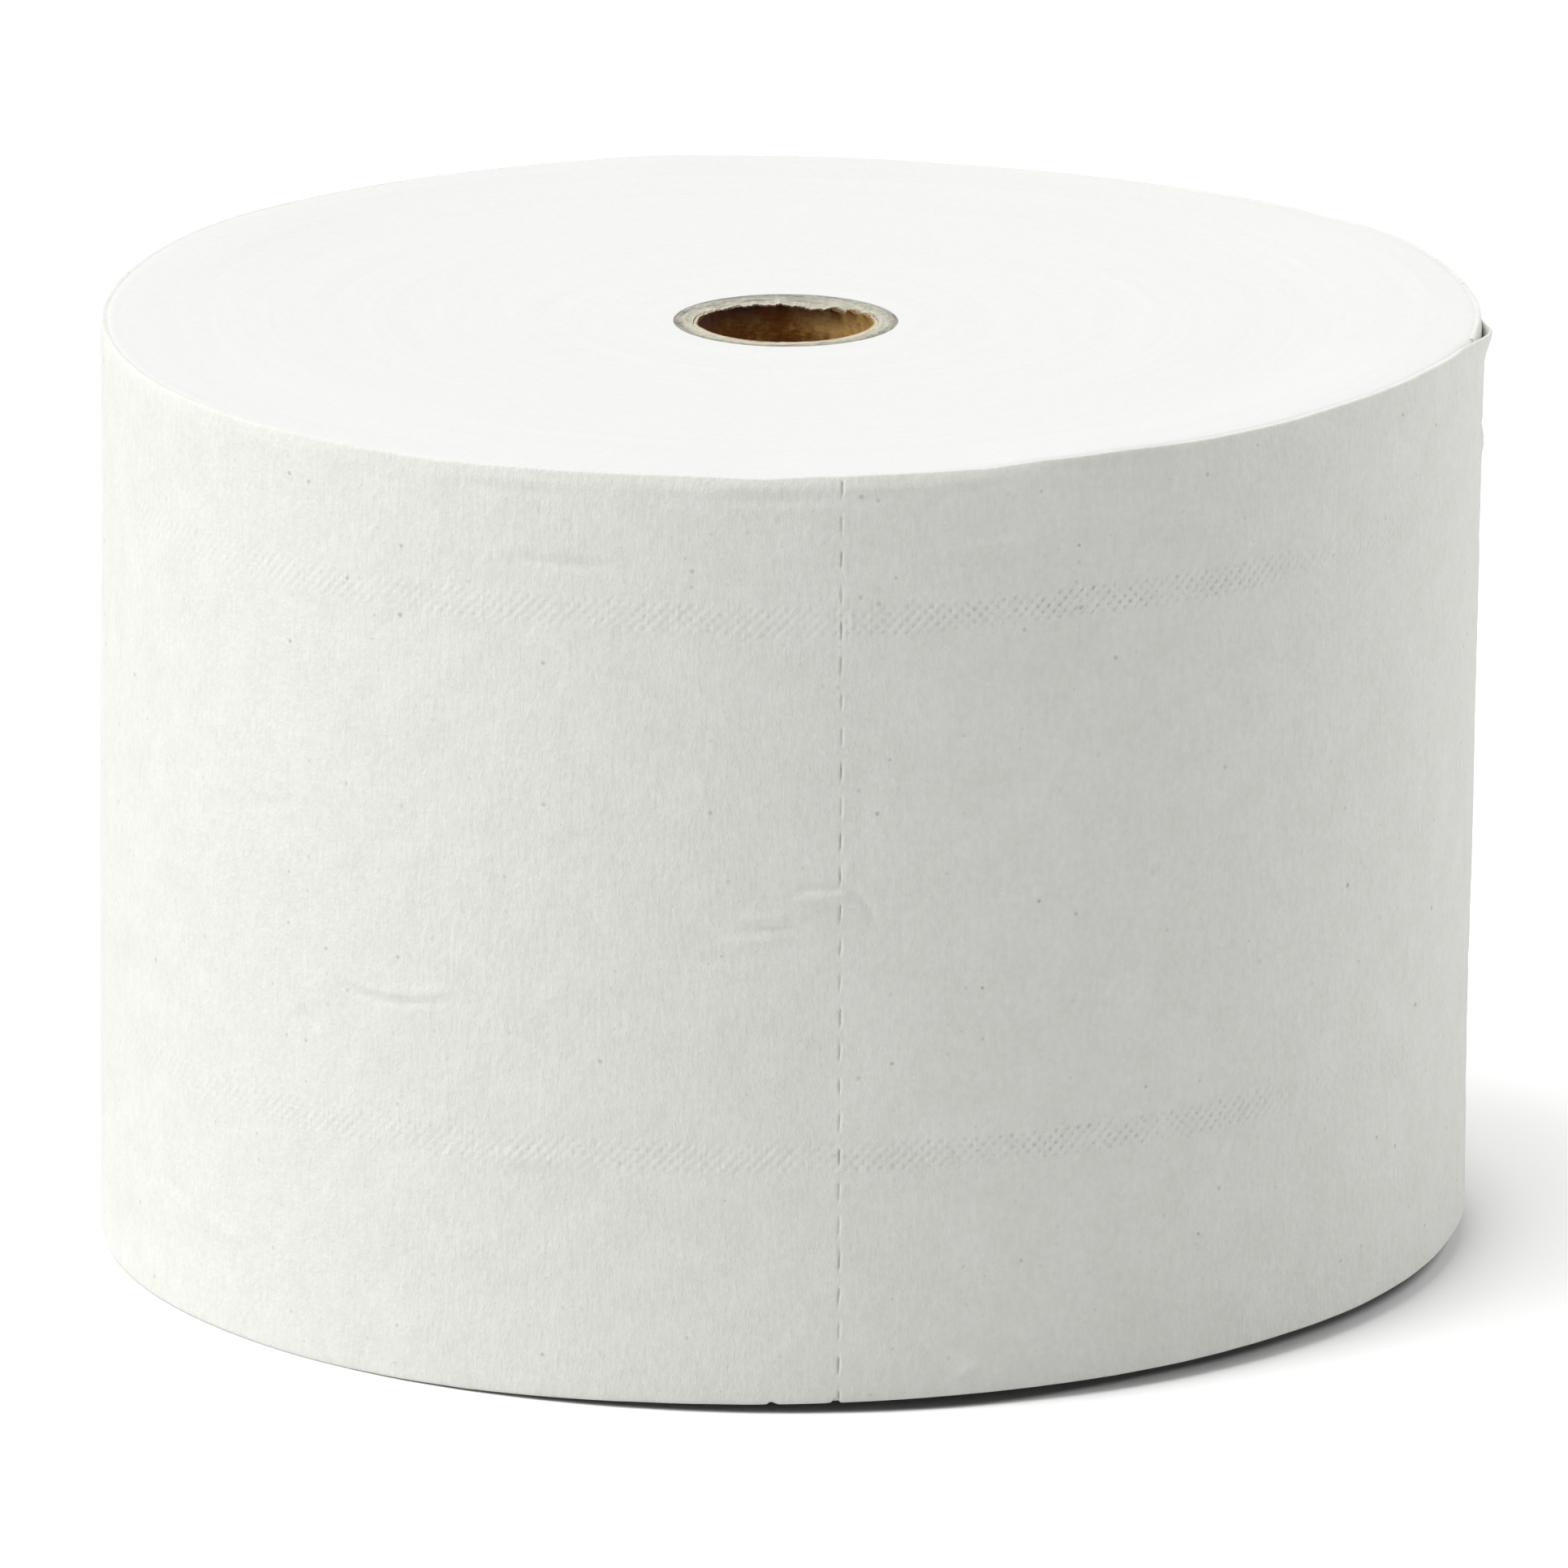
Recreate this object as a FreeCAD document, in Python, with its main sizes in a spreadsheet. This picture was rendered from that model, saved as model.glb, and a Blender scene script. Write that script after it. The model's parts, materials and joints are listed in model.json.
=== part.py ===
import FreeCAD, Part
import math
import os

import Sketcher

# Toilet paper roll, standing on its end.
# The web of tissue winds outward counter-clockwise, seen from above, on a board core with a paper liner.
# The origin is on the core's axis in the lower end face. +Z is up, and -Y is the side that is looked at.

SIZES = (
    ("roll_diameter", 135, "across the winding, at the tail"),
    ("web_width", 92, "width of the web, which is the roll's height"),
    ("turn_step", 0.3, "loose outer turn of tissue: the step at the tail"),
    ("tail_angle", 4.5, "degrees from +X to the tail"),
    ("rim_radius", 1, "soft edge between the side and the end faces, as two slopes"),
    ("core_bore", 17, "hole through the liner"),
    ("liner_thickness", 0.6, "wall of the paper liner"),
    ("board_thickness", 1.9, "wall of the board tube"),
    ("board_plies", 3, "layers of board that show on the tube's cut ends"),
    ("ply_nick", 0.12, "depth of the line between two plies"),
    ("sheet_length", 106.2, "web between two perforation lines"),
    ("cut_length", 1.8, "one cut of a perforation line, along the roll"),
    ("cut_width", 0.3, "mouth of one cut, round the roll"),
    ("cut_pitch", 3.34, "from one cut to the next"),
    ("torn_depth", 0.5, "how far the torn cuts reach into the tail's edge"),
    ("bond_width", 4.5, "knurled band that presses the two plies together"),
    ("bond_depth", 0.1, "depth of the knurled band"),
    ("upper_bond_drop", 14.25, "middle of the upper band, below the upper end"),
    ("lower_bond_drop", 67.75, "middle of the lower band, below the upper end"),
    ("face_turn_pitch", 9.5, "between the lines of turns on an end face"),
    ("face_turn_width", 1, "width of such a line"),
    ("face_turn_depth", 0.3, "depth of such a line"),
    ("face_turn_margin", 2, "from the core to where the first line starts"),
    ("tear_angle", 40, "degrees from +X to the middle of the liner's torn edge"),
    ("tear_width", 10, "torn part of the liner's upper edge"),
    ("tear_depth", 0.9, "deepest bite of the tear"),
)

ROLL_RADIUS = "Sizes.roll_diameter / 2"
CORE_RADIUS = "(Sizes.core_bore / 2 + Sizes.liner_thickness + Sizes.board_thickness)"
LINER_RADIUS = "(Sizes.core_bore / 2 + Sizes.liner_thickness)"
BORE_RADIUS = "Sizes.core_bore / 2"

# How deep each point of the torn edge lies, as a share of the deepest bite.
TEAR_SHARES = (0.25, 0.8, 0.45, 1, 0.3, 0.7, 0.15, 0.6, 0.2)

doc = FreeCAD.newDocument("ToiletPaperRoll")


def make_sheet():
    """Write every driving size into the sheet, with its alias and what it measures."""
    sheet = doc.addObject("Spreadsheet::Sheet", "Sizes")
    for row, (alias, value, meaning) in enumerate(SIZES, start=1):
        sheet.set(f"A{row}", alias)
        sheet.set(f"B{row}", str(value))
        sheet.set(f"C{row}", meaning)
        sheet.setAlias(f"B{row}", alias)
    doc.recompute()


def new_body(node):
    """A body for one piece. Its label is the piece's name."""
    body = doc.addObject("PartDesign::Body", node)
    body.Label = node
    return body


def new_sketch(body, name, plane):
    """A sketch on one of the body's own origin planes."""
    sketch = body.newObject("Sketcher::SketchObject", name)
    support = next(part for part in body.Origin.OriginFeatures if part.Role == plane)
    sketch.AttachmentSupport = [(support, "")]
    sketch.MapMode = "FlatFace"
    return sketch


def hold(sketch, kind, name, rule, *where):
    """Add one dimension to a sketch and bind it to a rule of the sheet's sizes."""
    value = float(sketch.evalExpression(rule))
    index = sketch.addConstraint(Sketcher.Constraint(kind, *where, value))
    sketch.renameConstraint(index, name)
    sketch.setExpression(f"Constraints.{name}", rule)


def draw_circle(sketch, name, radius):
    """A circle about the sketch's origin."""
    value = float(sketch.evalExpression(radius))
    circle = sketch.addGeometry(Part.Circle(FreeCAD.Vector(), FreeCAD.Vector(0, 0, 1), value))
    sketch.addConstraint(Sketcher.Constraint("Coincident", circle, 3, -1, 1))
    hold(sketch, "Radius", name, radius, circle)


def draw_outline(sketch, corners):
    """A closed outline of straight lines. A corner is its name and its two rules."""
    places = []
    for name, across, along in corners:
        place = [float(sketch.evalExpression(rule)) for rule in (across, along)]
        places.append(FreeCAD.Vector(*place, 0))
    edges = []
    for index, start in enumerate(places):
        end = places[(index + 1) % len(places)]
        edges.append(sketch.addGeometry(Part.LineSegment(start, end)))
    for index, (name, across, along) in enumerate(corners):
        edge = edges[index]
        following = edges[(index + 1) % len(edges)]
        sketch.addConstraint(Sketcher.Constraint("Coincident", edge, 2, following, 1))
        hold(sketch, "DistanceX", f"{name}_x", across, -1, 1, edge, 1)
        hold(sketch, "DistanceY", f"{name}_y", along, -1, 1, edge, 1)


def winding_profile(sketch, radius):
    """Half of the roll's section: soft rims at both ends, and the two shallow bond bands."""
    height = "Sizes.web_width"
    rim = "Sizes.rim_radius"
    inside = f"{radius} - {rim}"
    shoulder = f"{rim} * (1 - cos(45 deg))"
    floor = f"{radius} - Sizes.bond_depth"
    corners = [
        ("axis_low", "0", "0"),
        ("rim_low", inside, "0"),
        ("shoulder_low", f"{radius} - {shoulder}", shoulder),
        ("side_low", radius, rim),
    ]
    for band in ("lower", "upper"):
        middle = f"{height} - Sizes.{band}_bond_drop"
        under = f"{middle} - Sizes.bond_width / 2"
        over = f"{middle} + Sizes.bond_width / 2"
        corners.append((f"{band}_band_a", radius, under))
        corners.append((f"{band}_band_b", floor, under))
        corners.append((f"{band}_band_c", floor, over))
        corners.append((f"{band}_band_d", radius, over))
    corners.append(("side_high", radius, f"{height} - {rim}"))
    corners.append(("shoulder_high", f"{radius} - {shoulder}", f"{height} - {shoulder}"))
    corners.append(("rim_high", inside, height))
    corners.append(("axis_high", "0", height))
    draw_outline(sketch, corners)


def wind_half_turn(body, name, centre, radius, backward):
    """Half a turn of the winding, about an axis of its own beside the roll's axis."""
    sketch = new_sketch(body, f"{name}_section", "XZ_Plane")
    sketch.setExpression("AttachmentOffset.Base.x", centre)
    winding_profile(sketch, radius)
    half = body.newObject("PartDesign::Revolution", name)
    half.Profile = sketch
    half.ReferenceAxis = (sketch, ["V_Axis"])
    half.Angle = 180
    half.Reversed = backward
    doc.recompute()


def cut_core_hole(body):
    """The hole that the board tube fills."""
    sketch = new_sketch(body, "core_hole_outline", "XY_Plane")
    draw_circle(sketch, "core_radius", CORE_RADIUS)
    hole = body.newObject("PartDesign::Pocket", "core_hole")
    hole.Profile = sketch
    hole.Type = "ThroughAll"
    hole.Reversed = True
    doc.recompute()


def cut_perforation(body, line):
    """One perforation line, counted in sheets from the tail. Line 0 is the tail's own torn edge.

    Each cut is as deep as the outer turn is thick.
    """
    inward = f"(Sizes.turn_step * {line} * Sizes.sheet_length / (pi * Sizes.roll_diameter))"
    surface = f"{ROLL_RADIUS} - {inward}"
    floor = f"{surface} - Sizes.turn_step"
    beyond = f"{surface} + Sizes.turn_step"
    count = "(floor((Sizes.web_width - 2 * Sizes.rim_radius - Sizes.cut_length) / Sizes.cut_pitch) + 1)"
    used = f"(({count} - 1) * Sizes.cut_pitch + Sizes.cut_length)"

    sketch = new_sketch(body, f"cut_outline_{line}", "XY_Plane")
    turn = f"-{line} * Sizes.sheet_length / ({ROLL_RADIUS}) * 1 rad"
    sketch.setExpression("AttachmentOffset.Rotation.Angle", turn)
    sketch.setExpression("AttachmentOffset.Base.z", f"(Sizes.web_width - {used}) / 2")
    knife_cut = (
        ("tip", floor, "0"),
        ("beyond_behind", beyond, "-Sizes.cut_width"),
        ("beyond_ahead", beyond, "Sizes.cut_width"),
    )
    torn_notch = (
        ("floor_behind", floor, "-Sizes.torn_depth"),
        ("beyond_behind", beyond, "-Sizes.torn_depth"),
        ("beyond_ahead", beyond, "Sizes.cut_width"),
        ("floor_ahead", floor, "Sizes.cut_width"),
    )
    draw_outline(sketch, torn_notch if line == 0 else knife_cut)

    cut = body.newObject("PartDesign::Pocket", f"cut_{line}")
    cut.Profile = sketch
    cut.setExpression("Length", "Sizes.cut_length")
    cut.Reversed = True
    cut.Refine = False
    doc.recompute()

    cuts = body.newObject("PartDesign::LinearPattern", f"perforation_{line}")
    cuts.Originals = [cut]
    cuts.Direction = (sketch, ["N_Axis"])
    cuts.Mode = "Spacing"
    cuts.Refine = False
    cuts.setExpression("Offset", "Sizes.cut_pitch")
    cuts.setExpression("Occurrences", count)
    body.Tip = cuts
    doc.recompute()


def cut_face_turns(body, end):
    """The turns that show on one end face, as a V line that winds outward as the web does."""
    level = "Sizes.web_width" if end == "upper" else "0"
    inward = "-" if end == "upper" else "+"
    outward = "+" if end == "upper" else "-"
    start = f"({CORE_RADIUS} + Sizes.face_turn_margin)"
    last = f"({ROLL_RADIUS} - Sizes.turn_step - Sizes.rim_radius - Sizes.face_turn_width)"

    sketch = new_sketch(body, f"{end}_turn_section", "XZ_Plane")
    lip = f"{level} {outward} Sizes.face_turn_depth"
    corners = (
        ("inner", f"{start} - Sizes.face_turn_width", lip),
        ("tip", start, f"{level} {inward} Sizes.face_turn_depth"),
        ("outer", f"{start} + Sizes.face_turn_width", lip),
    )
    draw_outline(sketch, corners)

    turns = body.newObject("PartDesign::SubtractiveHelix", f"{end}_turns")
    turns.Profile = sketch
    turns.ReferenceAxis = (sketch, ["V_Axis"])
    turns.Mode = "height-turns-growth"
    turns.Height = 0
    turns.Refine = False
    turns.setExpression("Growth", "Sizes.face_turn_pitch")
    turns.setExpression("Turns", f"floor(({last} - {start}) / Sizes.face_turn_pitch)")
    doc.recompute()


def make_tissue_roll():
    """The winding: two half turns whose axes lie a quarter step to each side of the roll's axis.

    They meet without a step at the far side. At the near side, the tail, the outer turn ends one
    sheet above the turn that it lies on. The body is modelled with the tail on +X, then turned.
    """
    body = new_body("tissue_roll")
    body.setExpression("Placement.Rotation.Angle", "Sizes.tail_angle")
    step = "Sizes.turn_step"
    wind_half_turn(body, "inner_half_turn", f"-{step} / 4", f"({ROLL_RADIUS} - {step} * 3 / 4)", False)
    wind_half_turn(body, "outer_half_turn", f"{step} / 4", f"({ROLL_RADIUS} - {step} / 4)", True)
    cut_core_hole(body)
    lines_in_outer_turn = int(math.pi * doc.Sizes.roll_diameter / doc.Sizes.sheet_length)
    for line in range(lines_in_outer_turn + 1):
        cut_perforation(body, line)
    for end in ("upper", "lower"):
        cut_face_turns(body, end)
    return body


def make_core_wall():
    """The board tube, with a fine line between each two plies on both of its cut ends."""
    body = new_body("core_wall")
    plies = int(doc.Sizes.board_plies)
    ply = "(Sizes.board_thickness / Sizes.board_plies)"
    height = "Sizes.web_width"
    low = [("inner_low", LINER_RADIUS, "0")]
    high = [("inner_high", LINER_RADIUS, height)]
    for joint in range(1, plies):
        middle = f"{LINER_RADIUS} + {ply} * {joint}"
        marks = (
            (f"nick_{joint}_a", f"{middle} - Sizes.ply_nick / 2", "0"),
            (f"nick_{joint}_b", middle, "Sizes.ply_nick"),
            (f"nick_{joint}_c", f"{middle} + Sizes.ply_nick / 2", "0"),
        )
        for name, across, depth in marks:
            low.append((f"low_{name}", across, depth))
            high.append((f"high_{name}", across, f"{height} - {depth}"))
    low.append(("outer_low", CORE_RADIUS, "0"))
    high.append(("outer_high", CORE_RADIUS, height))

    sketch = new_sketch(body, "board_section", "XZ_Plane")
    draw_outline(sketch, low + high[::-1])
    tube = body.newObject("PartDesign::Revolution", "board_tube")
    tube.Profile = sketch
    tube.ReferenceAxis = (sketch, ["V_Axis"])
    tube.Angle = 360
    doc.recompute()
    return body


def make_core_liner():
    """The paper liner, a thin tube with its upper edge torn at the back right."""
    body = new_body("core_liner")
    ring = new_sketch(body, "liner_ring", "XY_Plane")
    draw_circle(ring, "liner_radius", LINER_RADIUS)
    draw_circle(ring, "bore_radius", BORE_RADIUS)
    tube = body.newObject("PartDesign::Pad", "liner_tube")
    tube.Profile = ring
    tube.setExpression("Length", "Sizes.web_width")
    doc.recompute()

    tear = new_sketch(body, "tear_outline", "YZ_Plane")
    about_core = FreeCAD.Rotation(FreeCAD.Vector(0, 1, 0), 1)
    tear.AttachmentOffset = FreeCAD.Placement(FreeCAD.Vector(), about_core)
    tear.setExpression("AttachmentOffset.Rotation.Angle", "Sizes.tear_angle")
    above = "Sizes.web_width + Sizes.tear_depth"
    corners = [("above_right", "Sizes.tear_width / 2", above), ("above_left", "-Sizes.tear_width / 2", above)]
    last = len(TEAR_SHARES) - 1
    for index, share in enumerate(TEAR_SHARES):
        across = f"Sizes.tear_width * ({index} / {last} - 0.5)"
        corners.append((f"tooth_{index}", across, f"Sizes.web_width - Sizes.tear_depth * {share}"))
    draw_outline(tear, corners)
    bite = body.newObject("PartDesign::Pocket", "torn_edge")
    bite.Profile = tear
    bite.setExpression("Length", LINER_RADIUS)
    bite.Reversed = True
    doc.recompute()
    return body


def check(bodies):
    """Stop if anything failed to build, or if a cut took nothing away."""
    for item in doc.Objects:
        if "Invalid" in item.State or "Error" in item.State:
            raise RuntimeError(f"{item.Label} did not build: {item.State}")
    for body in bodies:
        if body.Shape.isNull() or not body.Shape.isValid():
            raise RuntimeError(f"{body.Label} has no sound shape")
        if len(body.Shape.Solids) != 1:
            raise RuntimeError(f"{body.Label} has {len(body.Shape.Solids)} solids")
        for feature in body.Group:
            before = getattr(feature, "BaseFeature", None)
            if before is None or feature.TypeId == "PartDesign::Revolution":
                continue
            removed = before.Shape.Volume - feature.Shape.Volume
            print(f"{body.Label} {feature.Name}: {removed:.3f} mm3 cut away")
            if removed <= 0:
                raise RuntimeError(f"{feature.Name} cut nothing away")


def export(bodies):
    """Write each piece to a file of its own name."""
    os.makedirs("parts", exist_ok=True)
    for body in bodies:
        box = body.Shape.optimalBoundingBox(False)
        print(f"{body.Label}: {body.Shape.Volume:.1f} mm3, {box.XLength:.2f} x {box.YLength:.2f} x {box.ZLength:.2f}")
        body.Shape.exportStep(f"parts/{body.Label}.step")


make_sheet()
pieces = [make_tissue_roll(), make_core_wall(), make_core_liner()]
doc.recompute()
check(pieces)
export(pieces)
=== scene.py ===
import json

import bpy
import numpy as np
from mathutils import Matrix, Vector


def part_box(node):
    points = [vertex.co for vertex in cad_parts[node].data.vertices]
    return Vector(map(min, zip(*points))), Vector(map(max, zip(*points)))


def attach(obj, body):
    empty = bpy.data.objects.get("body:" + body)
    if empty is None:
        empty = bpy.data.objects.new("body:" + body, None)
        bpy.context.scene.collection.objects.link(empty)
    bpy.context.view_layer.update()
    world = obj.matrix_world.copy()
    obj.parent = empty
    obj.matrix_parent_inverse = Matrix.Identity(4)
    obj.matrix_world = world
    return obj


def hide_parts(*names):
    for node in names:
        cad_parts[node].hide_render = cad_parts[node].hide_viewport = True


# A compact toilet paper roll of two-ply perforated tissue, standing on its end.
# Sizes are in millimetres and become metres where a mesh is made. Angles round the roll are in
# degrees from +X, counter-clockwise seen from above, which is the way the web winds outward.
# -Y faces the camera. A place on the outer turn is its turn, in degrees from where the turn starts
# beside the tail to the tail at 360, and its height on the web. A little more of it, before 0, lies
# under the tail.

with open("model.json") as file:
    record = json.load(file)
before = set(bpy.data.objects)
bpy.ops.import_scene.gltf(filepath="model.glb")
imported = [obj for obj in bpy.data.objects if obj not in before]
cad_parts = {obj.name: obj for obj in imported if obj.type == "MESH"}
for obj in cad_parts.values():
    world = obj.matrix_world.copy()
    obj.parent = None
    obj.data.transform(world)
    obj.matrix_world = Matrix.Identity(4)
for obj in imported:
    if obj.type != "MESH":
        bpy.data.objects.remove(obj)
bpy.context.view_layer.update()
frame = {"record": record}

MM = 0.001


def corners_of(node):
    """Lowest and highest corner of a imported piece, in millimetres."""
    low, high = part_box(node)
    return np.array(low) / MM, np.array(high) / MM


WEB_WIDTH = corners_of("tissue_roll")[1][2]
TAIL_RADIUS = corners_of("tissue_roll")[1][0]
BOARD_RADIUS = corners_of("core_wall")[1][0]
LINER_RADIUS = corners_of("core_liner")[1][0]
BORE_RADIUS = next(m for m in frame["record"]["mounts"] if m["kind"] == "bore")["dims"]["r_mm"]

TAIL_ANGLE = 4.5
TURN_STEP = 0.3
TURN_FROM = -14
SHEET_THICKNESS = 0.25
ARC = np.radians(TAIL_RADIUS)

SHEET_LENGTH = 106.2
CUT_PITCH = 3.48
CUT_LENGTH = 1.8
CUT_WIDTH = 0.28
CUT_DEPTH = 0.42
CUTS_FROM = -0.55

BAND_WIDTH = 4.5
UPPER_BAND = WEB_WIDTH - 14.25
LOWER_BAND = WEB_WIDTH - 67.75
DOT_PITCH = 1.15
DOT_ROW_PITCH = 0.59
DOT_DEPTH = 0.115
# How far a band climbs to the left, and how hard it was pressed in, by azimuth.
BAND_AZIMUTHS = (-60, -26, -14, -3, 8, 20)
UPPER_CLIMB = (0.3, 0.6, 0.45, 0.2, 0, 0)
LOWER_CLIMB = (0.3, 0.5, 0.4, 0.5, 0.4, 0.2)
PRESS_AZIMUTHS = (-90, -60, -40, -15, 5, 15, 25, 38, 50, 90)
PRESS_FORCES = (0.3, 0.5, 0.7, 0.9, 0.9, 1.2, 1.7, 1.3, 0.6, 0.3)

LIP_WIDTH = 0.75
TAIL_LIP_WIDTH = 0.35
LIP_HEIGHT = 1.5
LIP_CORNER = 0.26
LIP_BEND_FROM = 25
# How far the rim's slope is rolled over, by azimuth.
ROLL_AZIMUTHS = (-30, -16, 0, 12, 18, 26)
ROLL_AMOUNTS = (0.25, 0.8, 1.25, 1.25, 1, 0.3)
FOOT_LIP = 0.4
WINDING_INSET = 0.5
WINDING_ROUND = 0.7
RING_TURNS = 4
DISH = 0.65
CORE_ASIDE = -0.3
LINER_PITCH = 44
FLAP_HEIGHT = 1.8

# Seams between the strips that the outer turn is made of, from the floor up.
LOWER_BAND_SPAN = (LOWER_BAND - BAND_WIDTH / 2, LOWER_BAND + BAND_WIDTH / 2)
UPPER_BAND_SPAN = (UPPER_BAND - BAND_WIDTH / 2, UPPER_BAND + BAND_WIDTH / 2)
MIDDLE_SEAM = 55.5

# The photograph is 1932 pixels square. The roll's middle is at MIDDLE_AT in it.
PHOTO_SIDE = 1932
FOCAL_PIXELS = 23650
CAMERA_DISTANCE = 1889
CAMERA_ELEVATION = 14.9
CAMERA_ROLL = 0.2
MIDDLE_AT = (970, 947)

FLOOR_NEAR = 0.77
FLOOR_FAR = 0.78
FLOOR_SEEN = 1.25
# Seen colour of the floor under the roll: a painted contact shadow.
FLOOR_PAINTED_SHADOW = 0.3
SKY = 0.19

# Places of the sockets of a Mix node: its two colours and its colour result, and its two values.
COLOUR_A, COLOUR_B, COLOUR_OUT = 6, 7, 2
VALUE_A, VALUE_B = 2, 3


def smooth_step(value, start, end):
    """0 up to start, 1 from end, and the curve 3t² - 2t³ between them."""
    share = np.clip((value - start) / (end - start), 0, 1)
    return share * share * (3 - 2 * share)


def smooth_noise(across, along, cell_across, cell_along, seed):
    """Values from -1 to 1 that change smoothly over a cell of the given size.

    Random numbers on a lattice that repeats after 512 cells, blended between a cell's four
    corners with the curve 3t² - 2t³.
    """
    size = 512
    lattice = np.random.default_rng(seed).uniform(-1, 1, (size, size))
    place_a, place_b = across / cell_across, along / cell_along
    cell_a, cell_b = np.floor(place_a).astype(int), np.floor(place_b).astype(int)
    share_a = smooth_step(place_a - cell_a, 0, 1)
    share_b = smooth_step(place_b - cell_b, 0, 1)
    a0, a1, b0, b1 = cell_a % size, (cell_a + 1) % size, cell_b % size, (cell_b + 1) % size
    near = lattice[a0, b0] * (1 - share_b) + lattice[a0, b1] * share_b
    far = lattice[a1, b0] * (1 - share_b) + lattice[a1, b1] * share_b
    return near * (1 - share_a) + far * share_a


def facing(turn):
    """Azimuth of a place on the outer turn as the camera sees it: -90 left, 0 front, 90 right."""
    return (turn + TAIL_ANGLE + 90 + 180) % 360 - 180


def perforation(line):
    """Turn at which a perforation line lies, counted back from the tail in sheet lengths."""
    return 360 - line * SHEET_LENGTH / ARC


# The outer turn has crept up the roll towards the tail. How far its lower edge lies above the
# floor, and how far its upper edge lies above or below the plain end, by azimuth.
FOOT_AZIMUTHS = (-180, -90, -40, -26, -12, 2, 14, 28, 45, 60, 75, 94.5, 120, 180)
FOOT_CREEP = (0, 0, 0, 0.2, 0.62, 0.95, 1.25, 1.5, 1.9, 2.1, 2.4, 2.4, 0, 0)
RIM_AZIMUTHS = (
    -180, -167, -158, -139, -125, -90, -62, -51, -42, -34, -27, -21, -15, -9, -2.6, 3.3, 9.3, 15.4, 21.7,
    28.3, 35.3, 43, 52, 64, 74, 82, 94.5, 116, 130, 150, 165, 180)
RIM_CREEP = (
    0.4, 0.75, 0.6, 0.6, 0.7, 0, -0.4, -0.4, -0.3, -0.25, -0.2, 0, 0.1, 0.15, 0.05, 0.3, 0.4, 0.5, 0.95,
    1.15, 1.05, 1.15, 1.4, 1.4, 1.15, 0.4, 0.4, 0.9, 0.45, 0.1, 0.1, 0.4)
TAIL_DROOP = 1.3


def foot_creep(azimuth):
    """How far the lower edge has crept up, linear between the azimuths in the table."""
    return np.interp(azimuth, FOOT_AZIMUTHS, FOOT_CREEP)


def rim_creep(azimuth):
    """How far the upper edge has crept up, by the curve 3t² - 2t³ from one azimuth to the next."""
    places, values = np.array(RIM_AZIMUTHS), np.array(RIM_CREEP)
    before = np.clip(np.searchsorted(places, azimuth, "right") - 1, 0, len(places) - 2)
    share = smooth_step(azimuth, places[before], places[before + 1])
    return values[before] * (1 - share) + values[before + 1] * share


def creep(turn, height):
    """How far the web has crept up: linear over the height between its foot's and its rim's, and
    drooping at the tail's upper corner."""
    azimuth = facing(turn)
    share = height / WEB_WIDTH
    droop = TAIL_DROOP * smooth_step(turn, 345, 357) * smooth_step(height, WEB_WIDTH - 12, WEB_WIDTH)
    return foot_creep(azimuth) * (1 - share) + rim_creep(azimuth) * share - droop


def lean(azimuth, height):
    """How far the side stands out from its cylinder: the right side flares outward to the top
    and is drawn in at the foot, the left side spreads a little towards the foot. Linear between
    heights, and faded in from front and back."""
    aside = np.sin(np.radians(azimuth))
    flared = np.interp(height, (0, 20, 40, 60, WEB_WIDTH), (-0.4, -0.25, 0, 0.2, 0.45))
    spread = np.interp(height, (0, 40, 60), (0.45, 0.25, 0))
    return smooth_step(aside, 0.2, 1) * flared + smooth_step(-aside, 0.2, 1) * spread


def under_tail(azimuth, height):
    """How far the paper next to the tail and under it stands out, fading with the distance down
    from the rim."""
    beside = smooth_step(azimuth, 84, 94) * (1 - smooth_step(azimuth, 100, 130))
    return 0.2 * beside * smooth_step(height, WEB_WIDTH - 40, WEB_WIDTH)


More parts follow.
